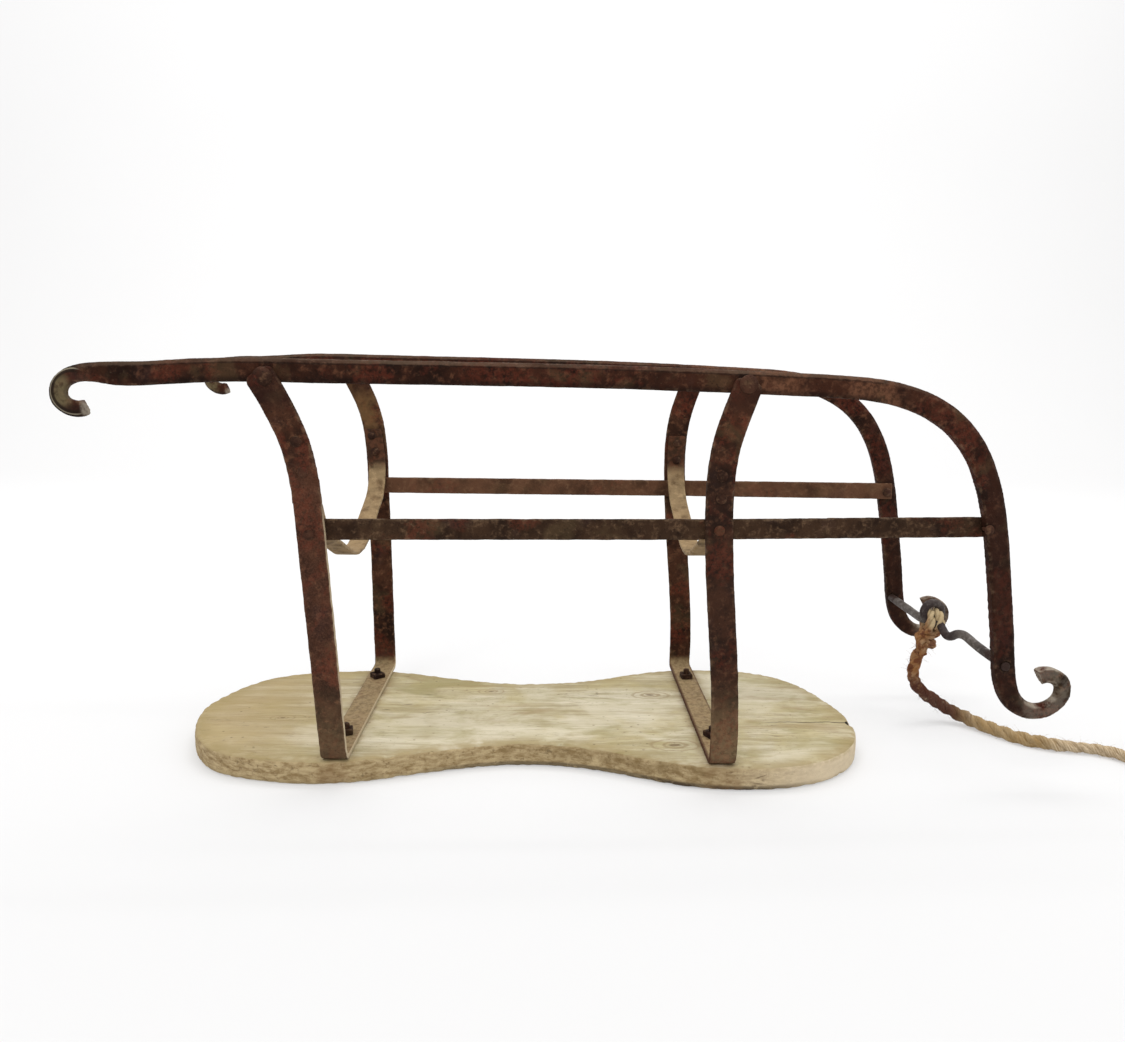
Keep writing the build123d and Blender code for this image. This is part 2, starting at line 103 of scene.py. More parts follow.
def finish_piece(name, mesh):
    """Smooth-shaded piece from a mesh, riding on the frame."""
    piece = bpy.data.objects.new(name, mesh)
    bpy.context.collection.objects.link(piece)
    mesh.polygons.foreach_set("use_smooth", [True] * len(mesh.polygons))
    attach(piece, "root")
    return piece


def between(x, marks):
    """Value at x, straight between (x, value) marks and level outside them."""
    if x <= marks[0][0]:
        return marks[0][1]
    for (a, low), (b, high) in zip(marks, marks[1:]):
        if x <= b:
            return low + (high - low) * (x - a) / (b - a)
    return marks[-1][1]


def srgb(r, g, b):
    """Colour from its everyday 0-255 numbers."""
    shares = (v / 255 for v in (r, g, b))
    return tuple(v / 12.92 if v < 0.04045 else ((v + 0.055) / 1.055) ** 2.4 for v in shares) + (1,)


# --------------------------------------------------------------------- rope
def coil_points():
    """The coil's control points, where the route joins it to its inner end."""
    points = []
    steps = round(COIL_TURNS / COIL_STEP)
    for i in range(steps + 1):
        turn = min(i * COIL_STEP, COIL_TURNS)
        angle = math.radians(COIL_FROM + 360 * turn)
        reach = between(turn, COIL_RADIUS)
        points.append((COIL_CENTRE[0] + reach * math.cos(angle), COIL_CENTRE[1] + reach * math.sin(angle),
                       between(turn, COIL_HEIGHT)))
    return points


def nurbs_line(points):
    """Points read from the smooth spline that has the given control points."""
    curve = bpy.data.curves.new("rope_line", "CURVE")
    curve.dimensions = "3D"
    spline = curve.splines.new("NURBS")
    spline.points.add(len(points) - 1)
    for point, place in zip(spline.points, points):
        point.co = (*place, 1)
    spline.order_u = 3
    spline.use_endpoint_u = True
    spline.resolution_u = 12
    holder = bpy.data.objects.new("rope_line", curve)
    mesh = bpy.data.meshes.new_from_object(holder)
    line = [v.co.copy() for v in mesh.vertices]
    bpy.data.objects.remove(holder)
    return line


def even(line, step):
    """The same line with evenly spaced points."""
    out, left = [line[0].copy()], step
    for a, b in zip(line, line[1:]):
        run = (b - a).length
        while left <= run:
            out.append(a.lerp(b, left / run))
            left += step
        left -= run
    return out


def frames(line, closed=False):
    """Two directions across the line at each point, carried along without twist."""
    n = len(line)
    ways = []
    for i in range(n):
        if closed:
            back, fore = line[i - 1], line[(i + 1) % n]
        else:
            back, fore = line[max(i - 1, 0)], line[min(i + 1, n - 1)]
        ways.append((fore - back).normalized())
    side = ways[0].orthogonal().normalized()
    sides = []
    for way in ways:
        side = (side - way * side.dot(way)).normalized()
        sides.append(side)
    if closed:
        last = (sides[-1] - ways[0] * sides[-1].dot(ways[0])).normalized()
        off = math.atan2(last.cross(sides[0]).dot(ways[0]), last.dot(sides[0]))
        sides = [Matrix.Rotation(off * i / n, 3, w) @ s for i, (w, s) in enumerate(zip(ways, sides))]
    return [(s, w.cross(s)) for s, w in zip(sides, ways)]


STRANDS = 3
RING = 10                       # points round a strand
FIBRE_DEPTH = 0.17              # of a strand's thickness
FIBRE_TURN = 500                # radians per metre round a strand
YARN_TURN = 1.6                 # turns of the yarns for each turn of the strands
STRAND_OVERLAP = 1.03           # a strand's reach and its own radius, added, in rope radii
# noise scales per metre: the strands' slewing, lumps, looseness and fibres
SLEW_SCALE, LUMP_SCALE, LOOSE_SCALE, FIBRE_SCALE = 28, 60, 24, 70
# the rope is loose and swollen near the knot, and tighter further on
ROPE_GIRTH = ((0.0, 1.12), (0.05, 1.2), (0.13, 1.32), (0.20, 1.25), (0.27, 1.05), (0.33, 1.0))
KNOT_GIRTH = ((0.0, 1.0), (1.0, 1.0))


def strand_ring(centre, outward, sideways, thick, strand, along, lay):
    """One ring of a strand's points, and their coordinates on the straightened yarns."""
    points, straight = [], []
    for k in range(RING):
        a = 2 * math.pi * k / RING
        lean = a - along * FIBRE_TURN
        ridge = Vector((math.cos(lean) * 2.5, math.sin(lean) * 2.5 + strand * 9, along * FIBRE_SCALE))
        fibre = 1 + FIBRE_DEPTH * noise.noise(ridge)
        point = centre + (outward * math.cos(a) + sideways * math.sin(a)) * thick * fibre
        point.z = max(point.z, FLOOR_GAP)
        points.append(point)
        yarn = a - along * 2 * math.pi / lay * YARN_TURN
        straight.append((math.cos(yarn), math.sin(yarn) + strand * 5, along))
    return points, straight


def tube_faces(base, rings, closed):
    """Faces between a tube's rings of points, with end caps where it isn't closed."""
    faces = []
    for i in range(rings if closed else rings - 1):
        a, b = base + i * RING, base + ((i + 1) % rings) * RING
        for k in range(RING):
            j = (k + 1) % RING
            faces.append((a + k, a + j, b + j, b + k))
    if not closed:
        faces.append(tuple(base + k for k in reversed(range(RING))))
        faces.append(tuple(base + (rings - 1) * RING + k for k in range(RING)))
    return faces


def twisted(lines, radius, lay, seed, wobble, girth, relief):
    """Vertices, faces and straightened coordinates of three-strand rope along the lines."""
    vertices, faces, straight = [], [], []
    for line, closed in lines:
        across = frames(line, closed)
        n = len(line)
        step = (line[1] - line[0]).length
        turns = 1 / lay
        if closed:
            turns = max(round(n * step / lay), 1) / (n * step)
        for strand in range(STRANDS):
            faces += tube_faces(len(vertices), n, closed)
            for i, (place, (u, v)) in enumerate(zip(line, across)):
                along = i * step
                angle = 2 * math.pi * (along * turns + strand / STRANDS)
                if not closed:
                    angle += wobble * 4 * noise.noise(Vector((along * SLEW_SCALE, 11.0, seed)))
                lump = noise.noise(Vector((along * LUMP_SCALE, strand * 7.3, seed)))
                loose = noise.noise(Vector((along * LOOSE_SCALE, strand * 3.1 + 40, seed)))
                swollen = between(along, girth)
                reach = radius * relief * (1 + wobble * loose) * swollen
                thick = radius * (STRAND_OVERLAP - relief) * (1 + wobble * lump) * swollen
                outward = u * math.cos(angle) + v * math.sin(angle)
                sideways = v * math.cos(angle) - u * math.sin(angle)
                ring, coordinates = strand_ring(place + outward * reach, outward, sideways, thick, strand,
                                                along, lay)
                vertices += ring
                straight += coordinates
    return vertices, faces, straight


def rope_piece(name, lines, radius, lay, seed, wobble=0.16, girth=KNOT_GIRTH, relief=0.50):
    """Piece of twisted rope along (line, closed) pairs."""
    vertices, faces, straight = twisted(lines, radius, lay, seed, wobble, girth, relief)
    piece = add(name, vertices, faces)
    store(piece.data, "straight", "FLOAT_VECTOR", straight)
    return piece


def store(mesh, name, kind, values):
    """Keep a value for each point, for the materials to read."""
    attribute = mesh.attributes.new(name, kind, "POINT")
    flat = np.asarray(values, dtype=np.float32).ravel()
    attribute.data.foreach_set("vector" if kind == "FLOAT_VECTOR" else "value", flat)


def loop_line(centre, first, second, count=60):
    """Closed loop round a centre with two half axes."""
    centre, first, second = Vector(centre), Vector(first), Vector(second)
    angles = [2 * math.pi * i / count for i in range(count)]
    return [centre + first * math.cos(a) + second * math.sin(a) for a in angles]


HAIR_SIDES = 3
HAIR_TAPER = (1, 0.9, 0.7, 0.25)
HAIR_THICK = (0.00009, 0.00017)     # from the thinnest to the thickest


def hairs(lines, radius, count, seed, longest):
    """Loose fibres standing off the rope."""
    rng = random.Random(seed)
    vertices, faces = [], []
    for _ in range(count):
        line = rng.choice(lines)
        i = rng.randrange(2, len(line) - 3)
        way = (line[i + 1] - line[i]).normalized()
        out = Matrix.Rotation(rng.uniform(0, 2 * math.pi), 3, way) @ way.orthogonal().normalized()
        lean = way * rng.choice((-1, 1)) * rng.uniform(0.5, 1.6)
        bend = Vector((rng.uniform(-1, 1), rng.uniform(-1, 1), rng.uniform(-1.0, 0.6))) * 0.8
        long = longest * rng.uniform(0.25, 1) ** 1.5
        root = line[i] + out * radius * 0.85
        places = [root + (out + lean + bend * t) * (long * t * 0.6) for t in (0, 0.3, 0.65, 1)]
        for p in places:
            p.z = max(p.z, 2 * FLOOR_GAP)
        thick = rng.uniform(*HAIR_THICK)
        start = len(vertices)
        for t, p in zip(HAIR_TAPER, places):
            for k in range(HAIR_SIDES):
                turn = Matrix.Rotation(2 * math.pi * k / HAIR_SIDES, 3, (out + lean).normalized())
                vertices.append(p + turn @ (out + lean).orthogonal().normalized() * thick * t)
        for base in range(start, len(vertices) - HAIR_SIDES, HAIR_SIDES):
            tip = base + HAIR_SIDES
            for k in range(HAIR_SIDES):
                j = (k + 1) % HAIR_SIDES
                faces.append((base + k, base + j, tip + j, tip + k))
    return vertices, faces


KNOT_ANGLES = [2 * math.pi * i / 90 for i in range(90)]


def make_eye_knot():
    """Two wraps through the eye and two round the standing rope, with a short end."""
    wraps = []
    for offset, tilt in ((-0.0040, 0.0015), (0.0036, -0.0018)):
        centre = Vector(EYE) + Vector((offset, 0, 0))
        wraps.append((loop_line(centre, (tilt, 0.0098, 0), (0.0012, 0, 0.0118)), True))
    for height, reach, tip in ((0.1045, 0.0074, 0.0030), (0.0960, 0.0062, -0.0016)):
        centre = (0.3730, EYE[1], height)
        wraps.append((loop_line(centre, (reach, 0, tip), (0, reach, -0.0015)), True))
    wraps.append((even(nurbs_line(KNOT_TAIL), 0.0012), False))
    knot = rope_piece("eye_knot", wraps, KNOT_RADIUS, KNOT_LAY, 8.1, wobble=0.26)
    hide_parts("rope_knot")
    return knot, [loop for loop, _ in wraps]


def round_the_coil(angle, reach, height):
    """Place at an angle and a distance from the coil's middle."""
    x, y = COIL_CENTRE
    return Vector((x + reach * math.cos(angle), y + reach * math.sin(angle), height))


def make_end_knot():
    """Trefoil knot in the coil's middle."""
    centre = round_the_coil(END_KNOT_ANGLE, END_KNOT_REACH, 0.0092)
    trefoil = [centre + Vector((math.sin(t) + 2 * math.sin(2 * t), math.cos(t) - 2 * math.cos(2 * t),
                                -1.3 * math.sin(3 * t))) * 0.0019 for t in KNOT_ANGLES]
    end_knot = rope_piece("end_knot", [(trefoil, True)], END_RADIUS, END_LAY, 2.2, wobble=0.2)
    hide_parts("rope_end_knot")
    return end_knot


def make_fibres(line, loops):
    """Loose fibres: thick near the knot, thinner along the rest and short on the knot."""
    vertices, faces = [], []
    for lines, radius, count, seed, longest in (([line[:HAIRY_UP_TO]], ROPE_RADIUS, 700, 11, 0.011),
                                                ([line[HAIRY_UP_TO:]], ROPE_RADIUS, 380, 12, 0.011),
                                                (loops, 0.0045, 130, 13, 0.010)):
        more, more_faces = hairs(lines, radius, count, seed, longest)
        faces += [tuple(v + len(vertices) for v in f) for f in more_faces]
        vertices += more
    fibres = add("rope_fibres", vertices, faces)
    store(fibres.data, "straight", "FLOAT_VECTOR", [(v.x * 90, v.y * 90, v.z * 3 + 0.4) for v in vertices])
    return fibres


def squared(value):
    """Sine or cosine pushed outward, so that a loop built from it hugs a flat bundle."""
    return math.copysign(abs(value) ** 0.55, value)


def make_tie():
    """Four turns of twine round the coil, and its small bow."""
    way = Vector((math.cos(TIE_ANGLE), math.sin(TIE_ANGLE), 0))
    side = Vector((-math.sin(TIE_ANGLE), math.cos(TIE_ANGLE), 0))
    middle = round_the_coil(TIE_ANGLE, TIE_REACH, 0.0112)
    twine = []
    turns, steps = 4, 48
    for i in range(turns * steps + 1):
        angle = 2 * math.pi * i / steps
        place = middle + way * squared(math.cos(angle)) * 0.0131 + side * (i / (turns * steps) - 0.5) * 0.0068
        place.z = max(place.z + squared(math.sin(angle)) * 0.0105, 0.0011)
        twine.append(place)
    bow = [middle + way * 0.0032 * math.sin(t) + side * 0.0030 * math.sin(2 * t)
           + Vector((0, 0, 0.0115 + 0.0012 * math.cos(3 * t))) for t in KNOT_ANGLES]
    tie = rope_piece("coil_twine", [(even(twine, 0.0008), False), (bow, True)], TWINE_RADIUS, TWINE_LAY, 5.5,
                     0.05)
    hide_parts("coil_tie")
    return tie


def make_rope():
    """The pull rope with its knots, loose fibres and tie."""
    line = even(nurbs_line(ROPE_ROUTE + coil_points()), ROPE_STEP)
    rope = rope_piece("rope", [(line, False)], ROPE_RADIUS, ROPE_LAY, 3.3, wobble=0.30, girth=ROPE_GIRTH,
                      relief=0.38)
    knot, loops = make_eye_knot()
    end_knot = make_end_knot()
    fibres = make_fibres(line, loops)
    tie = make_tie()
    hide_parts("pull_rope", "rope_coil")
    print("rope line", round(sum((b - a).length for a, b in zip(line, line[1:])), 4))
    return [rope, knot, end_knot, fibres, tie]


camera()
rope_pieces = make_rope()


# --------------------------------------------------------- worn solid pieces
def arrays(mesh):
    """Places, normals and edges of a mesh as arrays."""
    places = np.empty(len(mesh.vertices) * 3)
    mesh.vertices.foreach_get("co", places)
    normals = np.empty(len(mesh.vertices) * 3)
    mesh.vertex_normals.foreach_get("vector", normals)
    edges = np.empty(len(mesh.edges) * 2, dtype=np.int32)
    mesh.edges.foreach_get("vertices", edges)
    return places.reshape(-1, 3), normals.reshape(-1, 3), edges.reshape(-1, 2)


def neighbour_mean(values, edges, count):
    """Mean of each point's neighbours."""
    total = np.zeros((count,) + values.shape[1:])
    number = np.zeros(count)
    for a, b in ((0, 1), (1, 0)):
        np.add.at(total, edges[:, a], values[edges[:, b]])
        np.add.at(number, edges[:, a], 1)
    number = np.maximum(number, 1)
    return total / number[:, None]


def edge_wear(mesh, passes):
    """How far each point stands out from its smoothed surface, in metres."""
    places, normals, edges = arrays(mesh)
    smooth = places
    for _ in range(passes):
        smooth = neighbour_mean(smooth, edges, len(places))
    return np.einsum("ij,ij->i", places - smooth, normals)


def remeshed(node, voxel, smooth_steps):
    """Fine even mesh of a CAD node."""
    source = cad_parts[node]
    copy = bpy.data.objects.new(f"{node}_copy", source.data.copy())
    bpy.context.collection.objects.link(copy)
    remesh = copy.modifiers.new("even", "REMESH")
    remesh.mode, remesh.voxel_size = "VOXEL", voxel
    smooth = copy.modifiers.new("soften", "SMOOTH")
    smooth.factor, smooth.iterations = 0.5, smooth_steps
    shaped = copy.evaluated_get(bpy.context.evaluated_depsgraph_get())
    mesh = bpy.data.meshes.new_from_object(shaped)
    bpy.data.objects.remove(copy)
    mesh.materials.clear()
    return mesh


STRAIGHT = (-0.390, 0.250)      # X range where the runners lie level
SLICE = 0.010
EDGE_SHARE = 0.28               # of a voxel: how far a full edge stands out


def height_share(places):
    """Height on a level bar, 0 at its foot and 1 at its top, and 0.5 past its ends."""
    share = np.full(len(places), 0.5)
    slices = np.floor(places[:, 0] / SLICE)
    for k in np.unique(slices):
        if STRAIGHT[0] < k * SLICE < STRAIGHT[1]:
            here = slices == k
            z = places[here, 2]
            share[here] = (z - z.min()) / (z.max() - z.min())
    return share


# noise scales per metre on the forged iron, and the share of a lump that is kept
DENT_SCALE, RIPPLE_SCALE, PIT_SCALE, GRAIN_SCALE = 55, 130, 420, 900
LUMP_LIMIT = 0.25


def forged(node, voxel, dents, pits, slot, smooth_steps):
    """Hand-forged iron: hammered flats, rust lumps and pits, and worn edges."""
    mesh = remeshed(node, voxel, smooth_steps)
    wear = edge_wear(mesh, 3)
    places, normals, _ = arrays(mesh)
    offsets = np.empty(len(places))
    for i, p in enumerate(places):
        at = Vector(p)
        dent = noise.noise(at * DENT_SCALE) + 0.5 * noise.noise(at * RIPPLE_SCALE + Vector((7, 0, 0)))
        pit = noise.noise(at * PIT_SCALE) + 0.6 * noise.noise(at * GRAIN_SCALE)
        offsets[i] = dents * dent + pits * min(pit, LUMP_LIMIT)
    places = places + normals * offsets[:, None]
    mesh.vertices.foreach_set("co", places.ravel())
    store(mesh, "wear", "FLOAT", np.clip(wear / (EDGE_SHARE * voxel), -1, 1))
    if node.endswith("_runner"):
        store(mesh, "high", "FLOAT", height_share(places))
    mesh.update()
    piece = finish_piece(f"{node}_iron", mesh)
    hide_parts(node)
    return piece


SEAT_TOP, SEAT_VOXEL = 0.024, 0.0021
FLAT_UNDER = 0.004              # nothing stands out below this height, where the board lies on the floor
RIDGE_DEPTH, WAVE_DEPTH, CHIP_DEPTH, GOUGE_DEPTH = 0.00026, 0.0003, 0.0011, 0.004
CRACK_FROM = (0.170, -0.0350)     # the crack's inner end, X and Y
CRACK_SLOPE = -0.020
CRACK_LENGTH, CRACK_WANDER = 0.115, 0.010
NOTCH_Y = CRACK_FROM[1] + CRACK_LENGTH * CRACK_SLOPE
NOTCH_REACH, NOTCH_PULL = 0.0075, (-0.0045, 0, -0.002)
EDGE_ROUND = 0.0006             # how far the board's edges stand out
# knots in the board: X, Y and size; their rings are wider along the grain
SEAT_KNOTS = ((0.075, 0.0415, 0.013), (0.0846, -0.0955, 0.015), (-0.105, 0.05, 0.009), (-0.318, -0.03, 0.008))
KNOT_LONG, KNOT_WIDE = 2.0, 1.1


def grain_height(x, y):
    """Sideways place of the grain, bent round the knots."""
    for cx, cy, size in SEAT_KNOTS:
        far = math.hypot((x - cx) / 2.6, y - cy)
        pull = size * math.exp(-(far / (2.2 * size)) ** 2)
        y -= math.copysign(pull, y - cy) * min(abs(y - cy) / 0.002, 1)
    return y


def rim_distance(places, normals):
    """How far each point is from the board's sides."""
    sides = [i for i, n in enumerate(normals) if abs(n[2]) < 0.3]
    tree = kdtree.KDTree(len(sides))
    for k, i in enumerate(sides):
        tree.insert((places[i][0], places[i][1], 0), k)
    tree.balance()
    return [tree.find((p[0], p[1], 0))[2] for p in places]


def seat_lift(x, y, z, bent, edge):
    """How far the weathered surface stands out from the board; edge is 1 on the board's edges."""
    ridge = noise.noise(Vector((x * 9, bent * 210, z * 160)))
    wave = noise.noise(Vector((x * 11, y * 22, z * 30 + 5)))
    chip = max(noise.noise(Vector((x * 140, y * 140, z * 160))) + 0.25, 0)
    gouge = max(noise.noise(Vector((x * 34, y * 90, 8.8))) - 0.42, 0) if z > SEAT_TOP / 2 else 0
    lift = RIDGE_DEPTH * ridge + WAVE_DEPTH * wave - CHIP_DEPTH * edge * chip - GOUGE_DEPTH * gouge
    return min(lift, 0) if z < FLAT_UNDER else lift


def make_seat():
    """The board: ridged along its grain, chipped at its edges, with a notch where the crack ends."""
    mesh = remeshed("seat_board", SEAT_VOXEL, 4)
    wear = edge_wear(mesh, 4)
    places, normals, _ = arrays(mesh)
    near_notch = [p for p in places if abs(p[1] - NOTCH_Y) < 0.004 and p[2] > 0.015]
    notch_place = Vector((max(p[0] for p in near_notch), NOTCH_Y, SEAT_TOP - 0.002))
    rim_far = rim_distance(places, normals)
    grain = np.empty((len(places), 3))
    crack = np.zeros(len(places))
    for i, (p, n) in enumerate(zip(places, normals)):
        x, y, z = p
        bent = grain_height(x, y) + 0.010 * noise.noise(Vector((x * 3, y * 6, 1.7)))
        grain[i] = (x, bent, z)
        places[i] = p + n * seat_lift(x, y, z, bent, min(max(wear[i], 0) / EDGE_ROUND, 1))
        notch = 1 - (Vector(p) - notch_place).length / NOTCH_REACH
        if notch > 0:
            places[i] += Vector(NOTCH_PULL) * min(notch * 1.6, 1)
            crack[i] = min(notch * 2.2, 1)
    mesh.vertices.foreach_set("co", places.ravel())
    store(mesh, "grain", "FLOAT_VECTOR", grain)
    store(mesh, "wear", "FLOAT", np.clip(wear / EDGE_ROUND, -1, 1))
    store(mesh, "crack", "FLOAT", crack)
    store(mesh, "rim", "FLOAT", rim_far)
    mesh.update()
    seat = finish_piece("seat_wood", mesh)
    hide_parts("seat_board")
    return seat


# ---------------------------------------------------------------- materials
class Nodes:
    """Short forms for building a material."""

    def __init__(self, name):
        self.material = bpy.data.materials.new(name)
        self.material.use_nodes = True
        self.tree = self.material.node_tree
        self.shader = self.tree.nodes["Principled BSDF"]
        self.place = self.tree.nodes.new("ShaderNodeTexCoord").outputs["Object"]
        self.axis = dict(zip("xyz", self.split(self.place)))

    def link(self, value, socket):
        if isinstance(value, bpy.types.NodeSocket):
            self.tree.links.new(value, socket)
        else:
            socket.default_value = value

    def attribute(self, name, output="Fac"):
        node = self.tree.nodes.new("ShaderNodeAttribute")
        node.attribute_name = name
        return node.outputs[output]

    def split(self, vector):
        node = self.tree.nodes.new("ShaderNodeSeparateXYZ")
        self.link(vector, node.inputs[0])
        return node.outputs

    def normal(self):
        return self.split(self.tree.nodes.new("ShaderNodeNewGeometry").outputs["Normal"])

    def stretched(self, vector, scale, offset=(0, 0, 0)):
        node = self.tree.nodes.new("ShaderNodeMapping")
        node.inputs["Scale"].default_value = scale
        node.inputs["Location"].default_value = offset
        self.link(vector, node.inputs["Vector"])
        return node.outputs[0]

    def distance(self, centre, scale=(1, 1, 1)):
        """Distance from a centre, with each axis stretched by its scale."""
        node = self.tree.nodes.new("ShaderNodeVectorMath")
        node.operation = "LENGTH"
        offset = [-c * s for c, s in zip(centre, scale)]
        self.link(self.stretched(self.place, scale, offset), node.inputs[0])
        return node.outputs["Value"]

    def noise(self, scale, detail=4.0, rough=0.55, twist=0.0, at=None, offset=0.0):
        node = self.tree.nodes.new("ShaderNodeTexNoise")
        vector = self.stretched(at or self.place, (1, 1, 1), (offset, offset, offset))
        self.link(vector, node.inputs["Vector"])
        settings = {"Scale": scale, "Detail": detail, "Roughness": rough, "Distortion": twist}
        for name, value in settings.items():
            node.inputs[name].default_value = value
        return node.outputs["Fac"]

    def cells(self, scale):
        node = self.tree.nodes.new("ShaderNodeTexVoronoi")
        node.inputs["Scale"].default_value = scale
        self.link(self.place, node.inputs["Vector"])
        return node.outputs["Distance"]

    def span(self, value, low, high, to=(0.0, 1.0)):
        node = self.tree.nodes.new("ShaderNodeMapRange")
        node.interpolation_type = "SMOOTHSTEP"
        for name, number in (("From Min", low), ("From Max", high), ("To Min", to[0]), ("To Max", to[1])):
            node.inputs[name].default_value = number
        self.link(value, node.inputs["Value"])
        return node.outputs["Result"]

    def patches(self, low, high, *noise, to=(0.0, 1.0), **more_noise):
        """Soft-edged patches, none where the noise is at low and full where it is at high."""
        return self.span(self.noise(*noise, **more_noise), low, high, to)

    def math(self, what, a, b=0.0):
        node = self.tree.nodes.new("ShaderNodeMath")
        node.operation = what
        self.link(a, node.inputs[0])
        self.link(b, node.inputs[1])
        return node.outputs[0]

    def times(self, first, *others):
        for other in others:
            first = self.math("MULTIPLY", first, other)
        return first

    def weighted(self, *parts):
        """Sum of (value, weight) parts."""
        total = 0.0
        for value, weight in parts:
            total = self.math("ADD", total, self.math("MULTIPLY", value, weight))
        return total

    def zone(self, *limits):
        """1 inside the limits and 0 outside; a limit is (axis, outside, inside) in metres."""
        return self.times(*(self.span(self.axis[name], outside, inside) for name, outside, inside in limits))

    def mix(self, share, a, b):
        node = self.tree.nodes.new("ShaderNodeMix")
        node.data_type = "RGBA"
        self.link(share, node.inputs["Factor"])
        self.link(a, node.inputs["A"])
        self.link(b, node.inputs["B"])
        return node.outputs["Result"]

    def over(self, colour, tint, strength, *shares):
        """The colour with a tint laid over it, as strong as the shares' product."""
        return self.mix(self.times(*shares, strength), colour, srgb(*tint))

    def finish(self, colour, rough, height, depth, metal=0.0, specular=0.07):
        self.link(colour, self.shader.inputs["Base Color"])
        self.link(rough, self.shader.inputs["Roughness"])
        self.shader.inputs["Metallic"].default_value = metal
        self.shader.inputs["Specular IOR Level"].default_value = specular
        bump = self.tree.nodes.new("ShaderNodeBump")
        bump.inputs["Strength"].default_value = 1.0
        bump.inputs["Distance"].default_value = depth
        self.link(height, bump.inputs["Height"])
        self.link(bump.outputs[0], self.shader.inputs["Normal"])
        return self.material


# In the materials a span or patch runs from no effect to full effect, strengths are shares from 0 to 1,
# noise numbers are scale per metre, detail, roughness and distortion, and zones are in metres.
OCHRE_RUST, PURPLE_RUST, PIT = (84, 70, 48), (64, 46, 44), (26, 17, 14)


def iron(name, dark, middle, light, paint, paint_from, dust=0.30, seed=0.0, wear_colour=(112, 92, 72),
         rough=(0.55, 0.85), pale_inside=0.0):
    """Rusted iron; paint is left where its noise passes paint_from."""
    n = Nodes(name)
    fine = n.noise(150, 6, 0.65, 0.2, offset=seed + 3)
    speck = n.noise(620, 3, 0.6, offset=seed + 5)
    paint_left = n.times(n.patches(paint_from, paint_from + 0.10, 17, 4, 0.6, 0.6, offset=seed + 9),
                         n.patches(0.38, 0.56, 230, 5, 0.7, offset=seed + 11))
    colour = n.mix(n.patches(0.36, 0.62, 26, 5, 0.6, 0.4, offset=seed), srgb(*dark), srgb(*middle))
    colour = n.over(colour, light, 1.0, n.span(fine, 0.50, 0.72))
    colour = n.over(colour, paint, 0.50, paint_left)
    colour = n.over(colour, OCHRE_RUST, 0.28, n.patches(0.56, 0.70, 38, 3, 0.5, offset=seed + 14))
    colour = n.over(colour, PURPLE_RUST, 0.22, n.patches(0.58, 0.72, 31, 3, 0.5, offset=seed + 21))
    colour = n.over(colour, PIT, 0.75, n.span(speck, 0.57, 0.70))
    colour = n.over(colour, wear_colour, dust, n.patches(0.60, 0.74, 480, 4, 0.7, offset=seed + 31))
    edge = n.span(n.attribute("wear"), 0.25, 0.9)
    colour = n.over(colour, wear_colour, 0.42, edge, n.span(fine, 0.42, 0.66))
    if pale_inside:
        inside = n.patches(0.30, 0.55, 70, 5, 0.6, offset=seed + 41)
        colour = n.over(colour, wear_colour, pale_inside, inside)
    shine = n.span(fine, 0.3, 0.7, (rough[1], rough[0]))
    height = n.weighted((fine, 0.6), (speck, 0.35), (paint_left, 0.18))
    return n, colour, shine, height


def broad_of(n):
    """Noise for broad stains."""
    return n.noise(44, 4, 0.6, offset=51.0)


def speck_of(n):
    """Noise for specks."""
    return n.noise(700, 2, 0.5, offset=17.0)


SCROLL = (-0.4340, 0, 0.3650)           # the near scroll's middle
SCROLL_FLAT = (("x", -0.434, -0.442), ("z", 0.383, 0.372), ("z", 0.350, 0.356))
SCROLL_FOOT = (("x", -0.405, -0.415), ("z", 0.357, 0.352))
SCROLL_TIP = (("x", -0.431, -0.427), ("x", -0.37, -0.39), ("z", 0.362, 0.356))
SCROLL_RIM = (("x", -0.426, -0.434), ("y", 0.0, -0.1))
CURL = (("x", 0.395, 0.415), ("z", 0.125, 0.115))
FRESH_RUST = (("x", 0.10, 0.15), ("x", 0.30, 0.25))
DARKER_FRONT = (("x", 0.33, 0.37), ("x", 0.410, 0.395))


